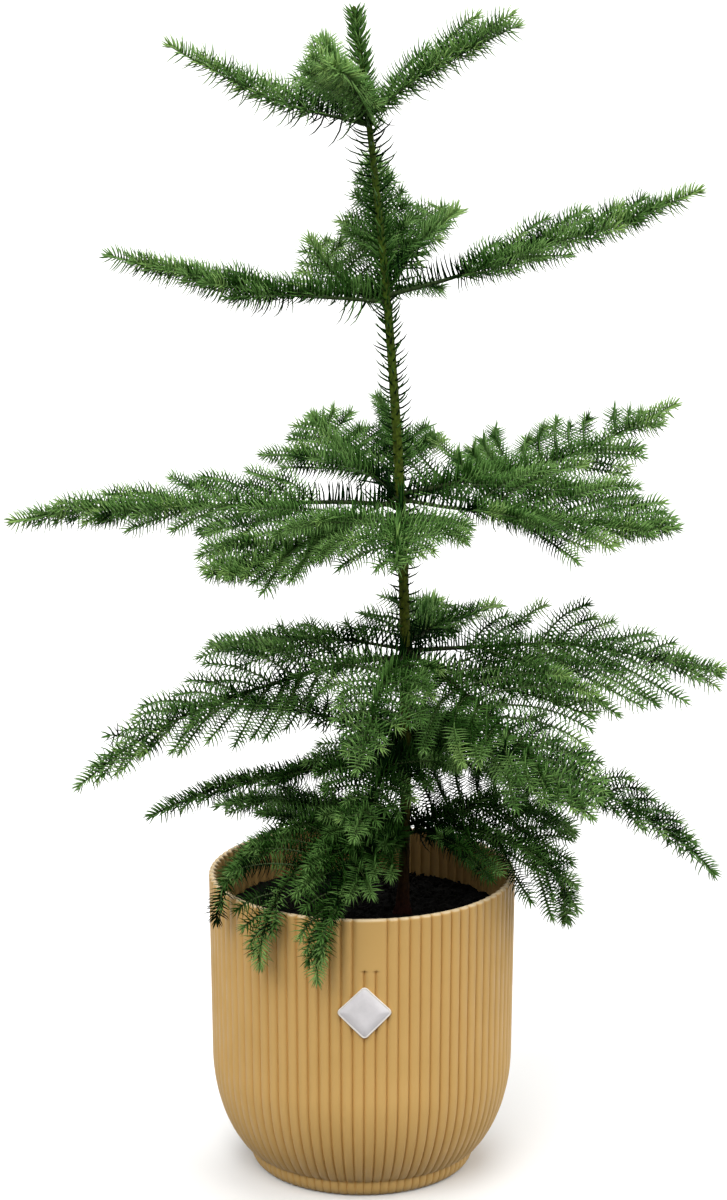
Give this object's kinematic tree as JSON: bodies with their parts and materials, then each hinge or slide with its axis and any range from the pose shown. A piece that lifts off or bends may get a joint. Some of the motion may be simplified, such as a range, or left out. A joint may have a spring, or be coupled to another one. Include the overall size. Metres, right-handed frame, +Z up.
{
  "type": "potted norfolk island pine",
  "caption": "Young indoor conifer with whorls of flat, needled fronds on a slim leaning trunk, standing in a round ribbed pot with a blank tag.",
  "frame": {"origin": "the middle of the pot's flat underside", "axes": "+Z up the plant; -Y towards the pot's plain panel and tag, which is the front"},
  "size_m": [0.4111, 0.3067, 0.6834],
  "materials": {
    "pot": "matt honey-coloured ribbed plastic",
    "compost": "dark moist compost",
    "tag": "pale blank tag with a thin rim",
    "bark": "young scaly bark, brown low down and olive green above",
    "needles": "soft waxy needles, deep green with brighter tips"
  },
  "bodies": {
    "root": {"fifth_back_left_foliage": "needles", "fifth_back_right_foliage": "needles", "fifth_front_left_foliage": "needles", "fifth_left_foliage": "needles", "fifth_right_foliage": "needles", "fourth_back_bough": "bark", "fourth_back_foliage": "needles", "fourth_back_left_bough": "bark", "fourth_back_left_foliage": "needles", "fourth_back_right_bough": "bark", "fourth_back_right_foliage": "needles", "fourth_front_bough": "bark", "fourth_front_foliage": "needles", "fourth_front_right_bough": "bark", "fourth_front_right_foliage": "needles", "fourth_left_bough": "bark", "fourth_left_foliage": "needles", "fourth_right_bough": "bark", "fourth_right_foliage": "needles", "fourth_right_low_bough": "bark", "fourth_right_low_foliage": "needles", "lowest_back_left_foliage": "needles", "lowest_back_right_foliage": "needles", "lowest_front_foliage": "needles", "lowest_front_left_foliage": "needles", "lowest_left_foliage": "needles", "lowest_right_foliage": "needles", "pot": "pot", "second_back_bough": "bark", "second_back_foliage": "needles", "second_back_left_bough": "bark", "second_back_left_foliage": "needles", "second_back_right_bough": "bark", "second_back_right_foliage": "needles", "second_left_bough": "bark", "second_left_foliage": "needles", "second_right_bough": "bark", "second_right_foliage": "needles", "soil": "compost", "tag": "tag", "third_back_bough": "bark", "third_back_foliage": "needles", "third_back_left_bough": "bark", "third_back_left_foliage": "needles", "third_back_right_bough": "bark", "third_back_right_foliage": "needles", "third_front_bough": "bark", "third_front_foliage": "needles", "third_front_left_bough": "bark", "third_front_left_foliage": "needles", "third_front_right_bough": "bark", "third_front_right_foliage": "needles", "third_left_bough": "bark", "third_left_foliage": "needles", "top_back_foliage": "needles", "top_front_foliage": "needles", "top_left_foliage": "needles", "top_right_foliage": "needles", "trunk": "bark"}
  },
  "joints": []
}
